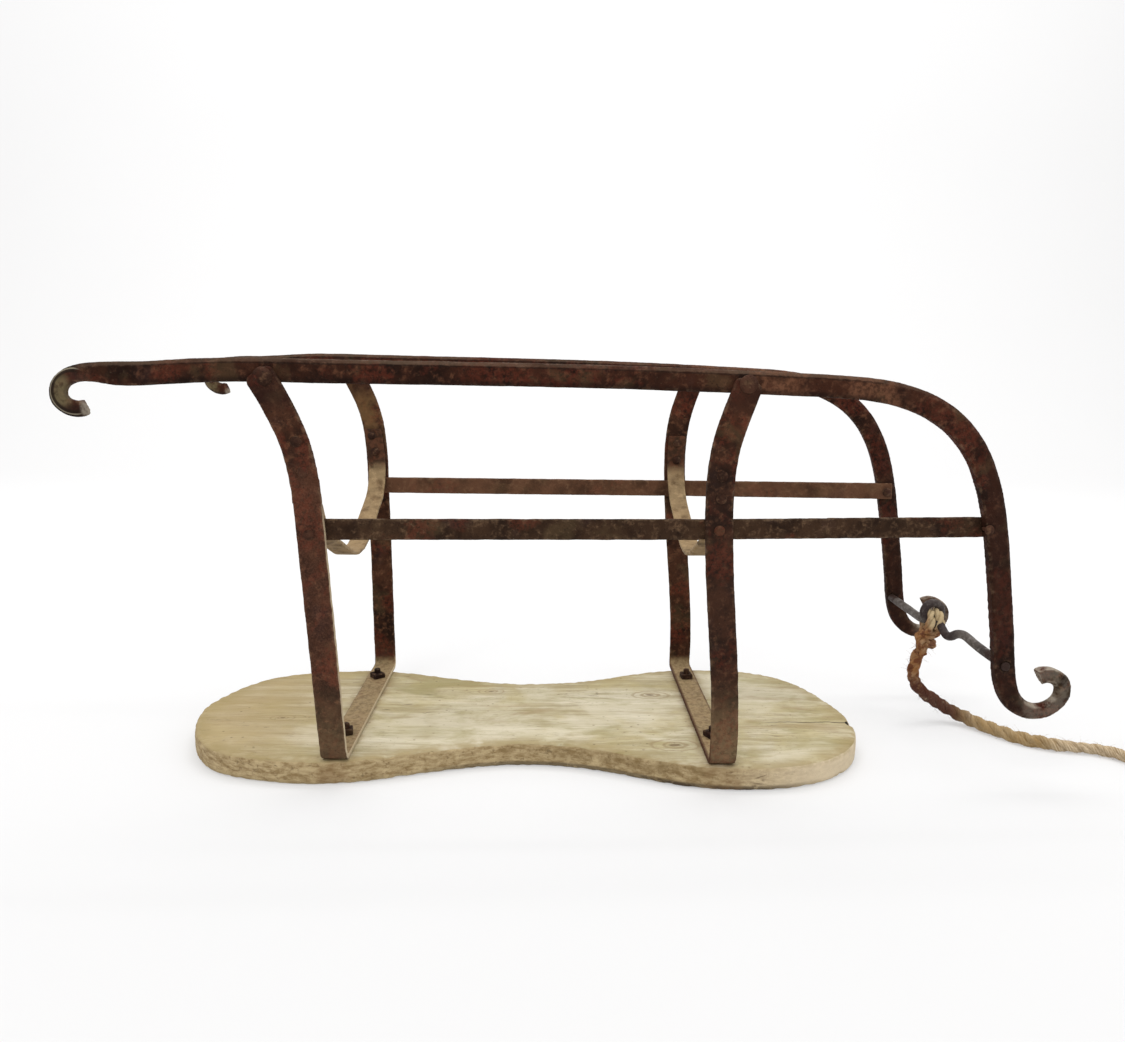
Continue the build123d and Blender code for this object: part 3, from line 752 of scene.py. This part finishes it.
def painted_iron():
    """The runners: rust with red paint left on it."""
    n, colour, shine, height = iron("painted iron", (29, 15, 9), (56, 30, 19), (86, 54, 37), (90, 41, 28),
                                    0.46)
    high = n.attribute("high")
    up = n.normal()[2]
    # the scroll is olive on its flat, dark at its foot and pale at its tip; the curl is pale
    patchy = n.patches(0.34, 0.58, 85, 5, 0.65)
    colour = n.over(colour, (36, 24, 19), 0.70, n.zone(*SCROLL_FOOT))
    colour = n.over(colour, (116, 104, 76), 0.60, n.zone(*SCROLL_FLAT), patchy)
    curl = n.times(n.zone(*CURL), n.span(n.math("ABSOLUTE", up), 0.10, 0.6, (0.30, 1.0)))
    pale = n.math("MAXIMUM", n.zone(*SCROLL_TIP), curl)
    colour = n.over(colour, (156, 145, 130), 0.80, pale, patchy)
    # the up-facing running face gets a thin paler strip: partly rubbed wear, partly a painted highlight where
    # the light falls on it
    streaks = n.patches(0.30, 0.62, 60, 5, 0.6, at=n.stretched(n.place, (0.25, 1, 1)))
    colour = n.over(colour, (88, 70, 55), 0.55, n.span(up, 0.30, 0.62), n.zone(("z", 0.36, 0.38)), streaks)
    colour = n.over(colour, (108, 72, 52), 0.80, n.zone(*FRESH_RUST), n.span(broad_of(n), 0.40, 0.62),
                    n.patches(0.36, 0.60, 210, 5, 0.7, offset=3.0, to=(0.25, 1.0)))
    # the front ends of the runners are made darker
    colour = n.over(colour, (30, 18, 13), 0.45, n.zone(*DARKER_FRONT))
    # darker along the lower edge, and a line of painted shade under the paler strip
    colour = n.over(colour, (22, 12, 8), 0.60, n.span(high, 0.34, 0.10), n.patches(0.25, 0.5, 70, 4, 0.6))
    colour = n.over(colour, (24, 14, 10), 0.55, n.span(high, 0.74, 0.79), n.span(high, 0.85, 0.81))
    # the near scroll's outer edge is dark with a thin pale line
    out = n.distance(SCROLL, (1, 0, 1))
    rim = n.zone(*SCROLL_RIM)
    colour = n.over(colour, (32, 23, 16), 0.88, n.span(out, 0.0150, 0.0163), rim)
    pale_line = n.times(n.span(out, 0.0180, 0.0186), n.span(out, 0.0197, 0.0191))
    colour = n.over(colour, (150, 140, 120), 0.65, pale_line, rim)
    return n.finish(colour, shine, height, 0.0011)


REAR_HOOP, FRONT_HOOP = ("x", -0.1, -0.2), ("x", -0.1, 0.0)
NEAR_SIDE, FAR_SIDE = ("y", 0.0, -0.1), ("y", 0.0, 0.1)
STRAP_TOP = ("z", 0.040, 0.031)
LEGS = (("z", 0.34, 0.28), ("z", 0.05, 0.12))


def hoop_iron():
    """The two hoops: legs and cross straps."""
    n, colour, shine, height = iron("hoop iron", (34, 19, 12), (66, 40, 27), (94, 62, 43), (98, 46, 31), 0.48,
                                    seed=2.0)
    facing, _, up = n.normal()
    # the strap on the seat and the feet of the legs are dusty and pale
    strap = n.times(n.zone(STRAP_TOP), n.math("MAXIMUM", n.span(up, 0.2, 0.6), n.zone(("y", 0.0, 0.05))))
    sloping = n.math("ADD", n.axis["z"], n.math("MULTIPLY", n.axis["y"], 0.3))
    foot = n.times(n.span(sloping, 0.075, 0.0), 0.40, n.span(n.axis["x"], -0.26, 0.10, (0.6, 1.0)))
    mottled = n.patches(0.36, 0.58, 230, 6, 0.72, to=(0.52, 1.0))
    colour = n.over(colour, (147, 127, 94), 0.88, n.math("MAXIMUM", strap, foot), mottled)
    # the sides: a painted highlight on the rear hoop's sides that face +X, brown on the front one
    pale_edge = n.math("MAXIMUM", n.zone(("z", 0.040, 0.034)), n.zone(NEAR_SIDE, ("z", 0.290, 0.240)))
    # painted highlight on the sides that face +X
    colour = n.over(colour, (196, 180, 150), 0.75, n.span(facing, 0.45, 0.80), n.zone(REAR_HOOP), pale_edge)
    colour = n.over(colour, (72, 44, 30), 0.85, n.span(facing, -0.35, -0.75), n.zone(("z", 0.060, 0.040)))
    # the far rear leg has a golden top
    colour = n.over(colour, (116, 88, 56), 0.55, n.zone(FAR_SIDE, ("z", 0.285, 0.310), REAR_HOOP),
                    n.span(broad_of(n), 0.36, 0.58))
    # the near rear leg is a redder brown, the near front leg a darker one
    near_legs = n.zone(*LEGS, NEAR_SIDE)
    colour = n.over(colour, (112, 76, 60), 0.26, near_legs, n.zone(REAR_HOOP),
                    n.span(speck_of(n), 0.40, 0.62, (0.3, 1.0)))
    colour = n.over(colour, (40, 30, 26), 0.26, near_legs, n.zone(("x", 0.0, 0.1)))
    # dark edges along the front strap, where rust bleeds
    colour = n.over(colour, (72, 46, 32), 0.6, n.span(n.attribute("wear"), 0.15, 0.6),
                    n.zone(("z", 0.036, 0.030), FRONT_HOOP))
    # the tops on the runners are as dark as these
    colour = n.over(colour, (44, 23, 17), 0.55, n.zone(("z", 0.345, 0.362)))
    return n.finish(colour, shine, height, 0.0009)


# bright chips on the rails: place and size
RAIL_CHIPS = (((-0.153, -0.146, 0.249), 0.0042), ((-0.185, -0.147, 0.246), 0.0022),
              ((0.20, -0.131, 0.244), 0.0020), ((-0.02, 0.147, 0.250), 0.0026))


def rail_iron():
    """The side rails, with a few bright chips."""
    n, colour, shine, height = iron("rail iron", (36, 23, 15), (60, 42, 29), (92, 70, 51), (92, 46, 32), 0.56,
                                    seed=4.0, dust=0.5)
    for place, size in RAIL_CHIPS:
        chip = n.span(n.distance(place), size, 0.5 * size)
        colour = n.over(colour, (196, 184, 170), 1.0, chip, n.span(speck_of(n), 0.40, 0.46))
    # the far rail is paler and redder
    colour = n.over(colour, (122, 84, 62), 0.42, n.zone(FAR_SIDE),
                    n.span(broad_of(n), 0.34, 0.60, (0.4, 1.0)))
    return n.finish(colour, shine, height, 0.0008)


def stay_iron():
    """The stays: pale worn iron, rusty where it meets the legs."""
    n, colour, shine, height = iron("stay iron", (74, 58, 40), (112, 90, 64), (138, 114, 84), (96, 66, 46),
                                    0.60, seed=6.0, wear_colour=(168, 144, 108), dust=0.6, pale_inside=0.45)
    rusty = n.mix(n.patches(0.40, 0.62, 150, 5, 0.6), srgb(46, 27, 18), srgb(78, 46, 32))
    top = n.times(n.zone(("z", 0.262, 0.278)), n.patches(0.15, 0.4, 60, 4, 0.6), 0.95)
    return n.finish(n.mix(top, colour, rusty), shine, height, 0.0008)


def rod_iron():
    """The draw rod: bare grey iron with dark ends and a dark dip."""
    n, colour, shine, height = iron("rod iron", (52, 45, 41), (84, 77, 72), (116, 110, 105), (78, 56, 44),
                                    0.60, seed=8.0, wear_colour=(134, 129, 124), dust=0.45, rough=(0.42, 0.7))
    ends = n.span(n.math("ABSOLUTE", n.axis["y"]), 0.098, 0.104)
    colour = n.over(colour, (44, 28, 22), 0.90, ends)
    colour = n.over(colour, (44, 32, 34), 0.70, n.zone(("y", -0.055, -0.035), ("y", 0.03, 0.0)))
    return n.finish(colour, shine, height, 0.0006, 0.1, 0.12)


def fastener_iron(name, seed, dark, middle):
    """Nuts, bolts and rivets."""
    n, colour, shine, height = iron(name, dark, middle, (92, 66, 48), (96, 38, 28), 0.54, seed=seed,
                                    dust=0.40)
    return n.finish(colour, shine, height, 0.0006)


def seat_face(n, lines, hair):
    """Colour of the board's top: year rings, grain, streaks and stains."""
    grain = n.attribute("grain", "Vector")

    def along(low, high, stretch, *noise, **more):
        return n.patches(low, high, 1, *noise, at=n.stretched(grain, stretch), **more)

    colour = n.mix(along(0.36, 0.66, (2.2, 48, 30), 3, 0.5, 0.8), srgb(162, 150, 118), srgb(194, 184, 158))
    for tint, strength, share in (
            ((138, 124, 86), 0.60, n.span(lines, 0.52, 0.68)),
            ((116, 100, 68), 0.72, n.span(hair, 0.52, 0.66)),
            ((172, 158, 114), 0.65, n.patches(0.46, 0.66, 11, 5, 0.6, 0.5)),
            ((126, 108, 72), 0.42, along(0.50, 0.66, (34, 380, 260), 5, 0.7, 0.5, offset=12.0)),
            ((207, 199, 178), 0.50, n.patches(0.46, 0.62, 9, 4, 0.55, 0.4, offset=6.0)),
            ((140, 130, 86), 0.66, along(0.45, 0.70, (11, 24, 20), 5, 0.65, 0.8, offset=4.0)),
            ((138, 116, 80), 0.50, along(0.56, 0.70, (9, 34, 20), 5, 0.6, 0.6, offset=9.0))):
        colour = n.over(colour, tint, strength, share)
    colour = n.over(colour, (104, 88, 62), 0.60, n.patches(0.62, 0.72, 340, 3, 0.6),
                    n.patches(0.45, 0.62, 20, 4, 0.6, offset=2.0))
    colour = n.over(colour, (156, 134, 94), 0.55, n.zone(("x", -0.20, -0.36)))
    rim = n.span(n.attribute("rim"), 0.024, 0.002)
    colour = n.over(colour, (146, 129, 88), 0.72, rim, n.patches(0.30, 0.58, 40, 5, 0.6))
    # knots: dark rings round a darker heart
    for cx, cy, size in SEAT_KNOTS:
        far = n.distance((cx, cy, 0), (1 / (KNOT_LONG * size), 1 / (KNOT_WIDE * size), 0))
        far = n.math("ADD", far, n.times(n.noise(120, 3), 0.30))
        rings = n.span(n.math("SINE", n.times(far, 15.0)), 0.1, 0.9)
        colour = n.over(colour, (138, 118, 84), 0.62, rings, n.span(far, 1.15, 0.85))
        colour = n.over(colour, (104, 82, 56), 0.75, n.span(far, 0.42, 0.26))
    return colour


def seat_side(n):
    """Colour of the board's sides: browner, with dirt in the grain, a painted highlight round the front end
    and painted shade in the waist.
    """
    colour = n.mix(n.patches(0.32, 0.68, 1, 6, 0.65, at=n.stretched(n.place, (90, 90, 240))),
                   srgb(132, 110, 74), srgb(182, 162, 124))
    colour = n.over(colour, (104, 82, 54), 0.6, n.patches(0.54, 0.68, 260, 4, 0.7))
    # painted highlight: the side is made paler round the front end, where it bulges towards the light
    colour = n.over(colour, (212, 196, 168), 0.75, n.zone(("x", 0.10, 0.24)))
    # painted shade: the side is darker where it curves in at the waist, more so towards its top
    waist_shade = n.times(n.zone(("x", -0.12, 0.0), ("x", 0.16, 0.08)),
                    n.span(n.axis["z"], 0.007, 0.015, (0.30, 1.0)))
    return n.over(colour, (108, 86, 50), 0.62, waist_shade, n.patches(0.30, 0.62, 70, 5, 0.7))


def seat_dirt(n, colour, lines):
    """Small dark marks, a darker band along the foot, rust stains by the straps, worn edges and the crack."""
    x, y, z = (n.axis[name] for name in "xyz")
    scratch = n.patches(0.61, 0.69, 1, 3, 0.6, 0.8, offset=5.0,
                        at=n.stretched(n.attribute("grain", "Vector"), (46, 420, 200)))
    colour = n.over(colour, (92, 76, 52), 0.65, scratch, n.patches(0.44, 0.56, 14, 3, 0.5, offset=8.0))
    colour = n.over(colour, (96, 80, 56), 0.55, n.span(n.cells(95), 0.18, 0.05), n.patches(0.46, 0.60, 24, 3))
    foot = n.zone(("z", 0.0072, 0.0036), ("x", -0.20, -0.06), ("x", 0.24, 0.14))
    colour = n.over(colour, (50, 38, 28), 0.90, foot, n.patches(0.22, 0.42, 75, 4))
    for end in ENDS:
        off = n.math("ABSOLUTE", n.math("SUBTRACT", x, frame_strap_x(end)))
        stain = n.times(n.span(off, 0.024, 0.011), n.patches(0.34, 0.62, 60, 5, 0.6))
        colour = n.over(colour, (120, 92, 60), 0.50, stain)
    pale_edge = n.span(n.attribute("wear"), 0.2, 0.8)
    colour = n.over(colour, (160, 142, 106), 0.50, pale_edge, n.span(lines, 0.40, 0.62))
    # the crack runs from its notch along a slightly wandering line
    colour = n.over(colour, (30, 24, 20), 1.0, n.span(n.attribute("crack"), 0.05, 0.5))
    run = n.math("SUBTRACT", x, CRACK_FROM[0])
    wander = n.math("SUBTRACT", n.noise(34, 3, 0.5, at=n.stretched(n.place, (1, 0, 0))), 0.5)
    line = n.weighted((run, CRACK_SLOPE), (wander, CRACK_WANDER))
    off = n.math("ABSOLUTE", n.math("SUBTRACT", n.math("SUBTRACT", y, CRACK_FROM[1]), line))
    return n.over(colour, (46, 35, 25), 0.95, n.span(off, 0.0011, 0.0004), n.span(run, 0.0, 0.04),
                  n.span(z, 0.010, 0.016))


def seat_wood():
    """The weathered board."""
    n = Nodes("weathered wood")
    grain = n.attribute("grain", "Vector")
    lines = n.noise(1, 6, 0.62, 0.35, at=n.stretched(grain, (7, 190, 120)))
    hair = n.noise(1, 4, 0.7, 0.2, at=n.stretched(grain, (26, 900, 700)))
    side = n.span(n.math("ABSOLUTE", n.normal()[2]), 0.75, 0.45)
    colour = n.mix(side, seat_face(n, lines, hair), seat_side(n))
    colour = seat_dirt(n, colour, lines)
    rough = n.span(lines, 0.3, 0.7, (0.92, 0.74))
    return n.finish(colour, rough, n.weighted((lines, 0.7), (hair, 0.4)), 0.0009, 0.0, 0.25)


def frame_strap_x(end):
    """Middle of the strap under the seat, from the bolts' places."""
    low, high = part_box(f"seat_bolt_{end}_left")
    return (low[0] + high[0]) / 2


SOAKED = (("x", 0.438, 0.412), ("z", 0.062, 0.044))
OLIVE_STRETCH = (("x", 0.405, 0.435), ("x", 0.505, 0.470))
IN_THE_EYE = (("z", 0.112, 0.120), ("x", 0.366, 0.372))


def rope_fibre():
    """Rope and twine: pale fibre, stained near the knot."""
    n = Nodes("rope fibre")
    straight = n.attribute("straight", "Vector")
    yarn = n.noise(1, 5, 0.65, at=n.stretched(straight, (2.2, 2.2, 70)))
    fibre = n.noise(1, 4, 0.7, at=n.stretched(straight, (7, 7, 260)))
    patch = n.noise(42, 4, 0.6, 0.4)
    colour = n.mix(n.span(yarn, 0.34, 0.68), srgb(150, 126, 94), srgb(214, 196, 166))
    colour = n.over(colour, (120, 92, 62), 0.6, n.span(fibre, 0.52, 0.70))
    colour = n.over(colour, (150, 116, 74), 0.45, n.span(patch, 0.52, 0.66))
    # golden brown near the knot, dark red where it first nears the floor, and olive past that
    colour = n.over(colour, (138, 93, 53), 1.0, n.zone(("z", 0.020, 0.045)),
                    n.span(patch, 0.34, 0.60, (0.62, 0.95)))
    colour = n.over(colour, (66, 27, 19), 0.92, n.zone(*SOAKED), n.patches(0.22, 0.46, 95, 4, 0.65))
    colour = n.over(colour, (150, 122, 76), 0.65, n.zone(*OLIVE_STRETCH), n.span(patch, 0.30, 0.52))
    colour = n.over(colour, (92, 46, 28), 0.75, n.zone(("z", 0.04, 0.06)), n.patches(0.49, 0.58, 130, 4, 0.6))
    colour = n.over(colour, (196, 178, 140), 0.75, n.zone(*IN_THE_EYE))
    return n.finish(colour, 0.92, n.weighted((yarn, 0.7), (fibre, 0.4)), 0.0009, 0.0, 0.2)


def plain_floor():
    """Matt white that glows a little, so that the floor meets the backdrop."""
    n = Nodes("floor")
    grey = n.mix(n.noise(1.5, 2), (0.40, 0.40, 0.40, 1), (0.41, 0.41, 0.41, 1))
    n.link(grey, n.shader.inputs["Base Color"])
    for name, value in (("Emission Color", (1, 0.995, 1, 1)), ("Emission Strength", 0.405),
                        ("Specular IOR Level", 0.0), ("Roughness", 0.95)):
        n.shader.inputs[name].default_value = value
    return n.material


def paint(piece, material):
    piece.data.materials.clear()
    piece.data.materials.append(material)


# ------------------------------------------------------------------- pieces
# depth of dents and of pits, slot and smoothing steps of each kind of iron piece
FORGING = {
    "runner": (0.00024, 0.00018, "painted_iron", 3),
    "rail": (0.00018, 0.00010, "rusty_iron", 2),
    "hoop": (0.00022, 0.00014, "rusty_iron", 2),
    "stay": (0.00018, 0.00010, "bare_iron", 2),
    "rod": (0.00022, 0.00010, "bare_iron", 3),
    "nut": (0.00022, 0.00010, "dark_iron", 2),
    "rivet": (0.00025, 0.00010, "rusty_iron", 2),
}
SMALL_VOXELS = {"rod": 0.0009, "nut": 0.0006, "rivet": 0.0005}


def make_iron():
    """Every iron piece, in its material."""
    looks = {"runner": painted_iron(), "hoop": hoop_iron(), "rail": rail_iron(), "stay": stay_iron(),
             "rod": rod_iron(), "nut": fastener_iron("nut iron", 10.0, (28, 16, 11), (52, 33, 22)),
             "rivet": fastener_iron("rivet iron", 12.0, (40, 24, 17), (74, 47, 35))}
    bar_voxel = 0.0013
    kinds = [(f"{side}_{kind}", kind) for side in SIDES for kind in ("runner", "rail")]
    kinds += [(f"{end}_{kind}", kind) for end in ENDS for kind in ("hoop", "stay")]
    kinds.append(("draw_rod", "rod"))
    for name in sorted(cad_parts):
        if "_nut_" in name or "_bolt_" in name:
            kinds.append((name, "nut"))
        elif "_rivet_" in name:
            kinds.append((name, "rivet"))
    for name, kind in kinds:
        paint(forged(name, SMALL_VOXELS.get(kind, bar_voxel), *FORGING[kind]), looks[kind])


FLOOR_FROM, FLOOR_TO, FLOOR_HALF = -6.0, 2.2, 7.0
CURVE, CURVE_STEPS, BACKDROP_TOP = 1.6, 12, 6.0


def make_stage():
    """Pale floor that curves up into a backdrop."""
    profile = [(FLOOR_FROM, 0.0), (FLOOR_TO, 0.0)]
    for i in range(1, CURVE_STEPS + 1):
        angle = math.pi / 2 * i / CURVE_STEPS
        profile.append((FLOOR_TO + CURVE * math.sin(angle), CURVE * (1 - math.cos(angle))))
    profile.append((FLOOR_TO + CURVE, BACKDROP_TOP))
    vertices = [(x, y, z - FLOOR_GAP) for y, z in profile for x in (-FLOOR_HALF, FLOOR_HALF)]
    faces = [(2 * i, 2 * i + 1, 2 * i + 3, 2 * i + 2) for i in range(len(profile) - 1)]
    mesh = bpy.data.meshes.new("floor")
    mesh.from_pydata(vertices, [], faces)
    floor = bpy.data.objects.new("floor", mesh)
    bpy.context.collection.objects.link(floor)
    mesh.polygons.foreach_set("use_smooth", [True] * len(mesh.polygons))
    paint(floor, plain_floor())


def lamp(name, place, aim, size, power):
    """White rectangular lamp, in metres and watts."""
    data = bpy.data.lights.new(name, "AREA")
    data.shape, data.size, data.size_y = "RECTANGLE", *size
    data.energy = power
    light = bpy.data.objects.new(name, data)
    light.location = place
    light.rotation_euler = (Vector(aim) - Vector(place)).to_track_quat("-Z", "Y").to_euler()
    bpy.context.collection.objects.link(light)


# name, place, aim, size and watts
LAMPS = (("key", (-0.9, -1.6, 2.3), (0, 0, 0.15), (1.6, 1.2), 24),
         ("top", (0.2, 0.5, 2.4), (0, 0, 0.1), (2.2, 1.4), 22),
         ("fill", (1.9, -1.0, 1.2), (0.1, 0, 0.2), (1.2, 1.2), 8),
         ("backdrop", (0, 0.9, 2.9), (0, 3.8, 1.2), (6.5, 0.8), 110))


def make_light():
    """White studio light from above, with the backdrop lit on its own."""
    bpy.context.scene.view_settings.view_transform = "Standard"
    world = bpy.data.worlds.new("studio")
    bpy.context.scene.world = world
    world.use_nodes = True
    background = world.node_tree.nodes["Background"]
    background.inputs["Color"].default_value = (1.0, 0.995, 0.985, 1)
    background.inputs["Strength"].default_value = 0.78
    for settings in LAMPS:
        lamp(*settings)


make_iron()
paint(make_seat(), seat_wood())
fibre = rope_fibre()
for piece in rope_pieces:
    paint(piece, fibre)
make_stage()
make_light()
